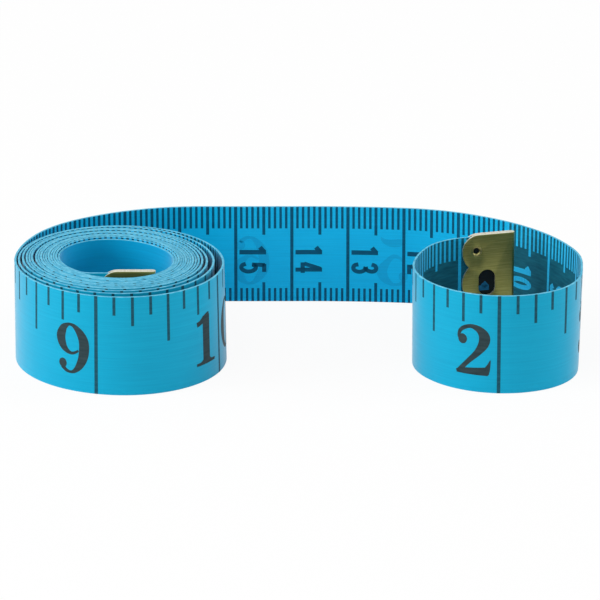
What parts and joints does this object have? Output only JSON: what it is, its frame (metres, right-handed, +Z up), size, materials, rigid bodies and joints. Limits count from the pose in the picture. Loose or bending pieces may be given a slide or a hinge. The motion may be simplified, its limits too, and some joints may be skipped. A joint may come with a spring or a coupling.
{
  "type": "tape measure",
  "caption": "Flexible sewing tape measure standing on edge, wound into a roll at one end and an open loop at the other, with folded brass tips.",
  "frame": {"origin": "middle of the footprint, on the surface that the tape's lower edge stands on", "axes": "+X along the straight run from the roll to the loop, +Z up across the width of the tape, +Y towards the run at the back"},
  "size_m": [0.0988, 0.0466, 0.0188],
  "materials": {
    "tape": "semi-matt PVC coating over woven glass fibre, printed in black",
    "brass_tip": "brushed sheet, slightly dulled",
    "brass_rivet": "bright, set flush"
  },
  "bodies": {
    "roll": {"tape_roll": "tape"},
    "inner_end": {"tape_inner_end": "tape", "inner_tip": "brass_tip", "inner_tip_rivet_upper": "brass_rivet", "inner_tip_rivet_lower": "brass_rivet"},
    "roll_side_run": {"tape_run_roll_side": "tape"},
    "loop_side_run": {"tape_run_loop_side": "tape"},
    "loop_front": {"tape_loop_front": "tape"},
    "zero_end": {"tape_zero_end": "tape", "zero_tip": "brass_tip", "zero_tip_rivet_upper": "brass_rivet", "zero_tip_rivet_lower": "brass_rivet"}
  },
  "joints": [
    {"name": "inner_end_flex", "type": "hinge", "parent": "roll", "child": "inner_end", "pos_m": [-0.03882, -0.01111, 0.0094], "axis": [0, 0, 1], "range_deg": [0, 45], "stiffness_Nm_per_rad": 0.0006},
    {"name": "peel_flex", "type": "hinge", "parent": "roll", "child": "roll_side_run", "pos_m": [-0.04683, 0.00599, 0.009], "axis": [0, 0, 1], "range_deg": [-5, 45], "stiffness_Nm_per_rad": 0.0006},
    {"name": "run_flex", "type": "hinge", "parent": "roll_side_run", "child": "loop_side_run", "pos_m": [0.0008, 0.02264, 0.009], "axis": [0, 0, 1], "range_deg": [-30, 45], "stiffness_Nm_per_rad": 0.0006},
    {"name": "loop_flex", "type": "hinge", "parent": "loop_side_run", "child": "loop_front", "pos_m": [0.04915, -0.00499, 0.009], "axis": [0, 0, 1], "range_deg": [-5, 70], "stiffness_Nm_per_rad": 0.0006},
    {"name": "zero_end_flex", "type": "hinge", "parent": "loop_front", "child": "zero_end", "pos_m": [0.02003, -0.0081, 0.009], "axis": [0, 0, 1], "range_deg": [-30, 20], "stiffness_Nm_per_rad": 0.0006}
  ]
}
